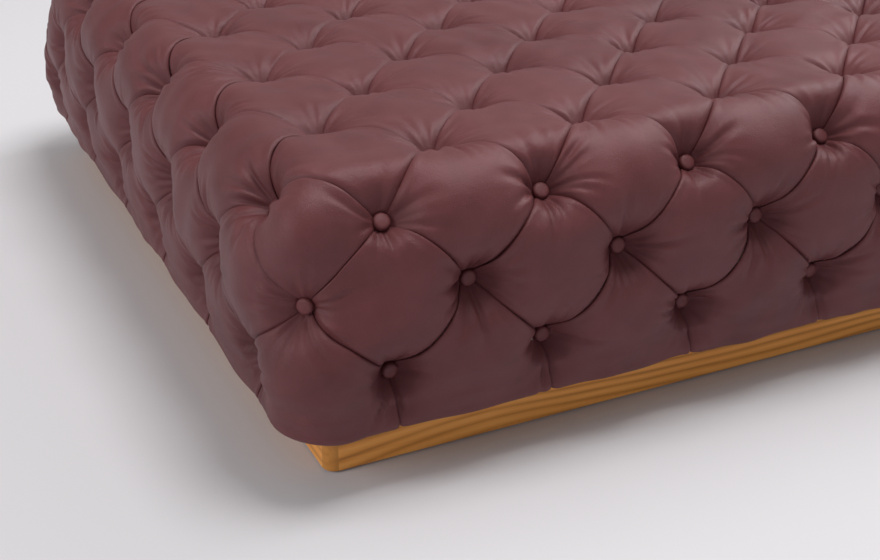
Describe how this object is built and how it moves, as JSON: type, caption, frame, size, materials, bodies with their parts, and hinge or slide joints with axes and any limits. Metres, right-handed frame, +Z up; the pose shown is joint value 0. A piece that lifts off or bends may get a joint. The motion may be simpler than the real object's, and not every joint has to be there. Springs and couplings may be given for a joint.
{
  "type": "lobby seat",
  "caption": "Low backless island seat, deep-buttoned all over in burgundy leather, on a recessed solid wood plinth.",
  "frame": {"origin": "on the floor, under the middle of the seat", "axes": "+Z up, +X along the long front to the right as seen from the front, -Y out of the front"},
  "size_m": [1.856, 1.416, 0.425],
  "materials": {
    "leather": "satin",
    "plinth_wood": "satin",
    "plywood": "matte",
    "pine": "matte",
    "foam": "matte",
    "filling": "matte",
    "twine": "matte",
    "dust_cloth": "matte",
    "zinc_steel": "satin",
    "glide_nylon": "matte"
  },
  "bodies": {
    "root": {"plinth_front_rail": "plinth_wood", "plinth_back_rail": "plinth_wood", "plinth_left_rail": "plinth_wood", "plinth_right_rail": "plinth_wood", "corner_block_front_left": "pine", "corner_block_front_right": "pine", "corner_block_back_right": "pine", "corner_block_back_left": "pine", "plinth_mid_blocks": "pine", "cross_rail_left": "pine", "cross_rail_middle": "pine", "cross_rail_right": "pine", "floor_glides": "glide_nylon", "plinth_bolts": "zinc_steel", "bolt_washers": "zinc_steel", "tee_nuts": "zinc_steel", "base_front_board": "plywood", "base_back_board": "plywood", "base_left_board": "plywood", "base_right_board": "plywood", "front_panel": "plywood", "back_panel": "plywood", "left_panel": "plywood", "right_panel": "plywood", "corner_post_front_left": "pine", "corner_post_front_right": "pine", "corner_post_back_right": "pine", "corner_post_back_left": "pine", "joist_left": "pine", "joist_middle": "pine", "joist_right": "pine", "seat_deck_left": "plywood", "seat_deck_right": "plywood", "frame_screws": "zinc_steel", "dust_cover": "dust_cloth", "hem_staples": "zinc_steel", "dust_cover_staples": "zinc_steel", "seat_foam": "foam", "front_foam": "foam", "back_foam": "foam", "left_foam": "foam", "right_foam": "foam", "top_filling": "filling", "side_filling": "filling", "leather_top_left": "leather", "leather_top_right": "leather", "leather_front": "leather", "leather_right": "leather", "leather_back": "leather", "leather_left": "leather", "seat_buttons": "leather", "shoulder_buttons": "leather", "upper_row_buttons": "leather", "lower_row_buttons": "leather", "seat_twines": "twine", "side_twines": "twine", "seat_twine_washers": "zinc_steel", "side_twine_washers": "zinc_steel"}
  },
  "joints": []
}
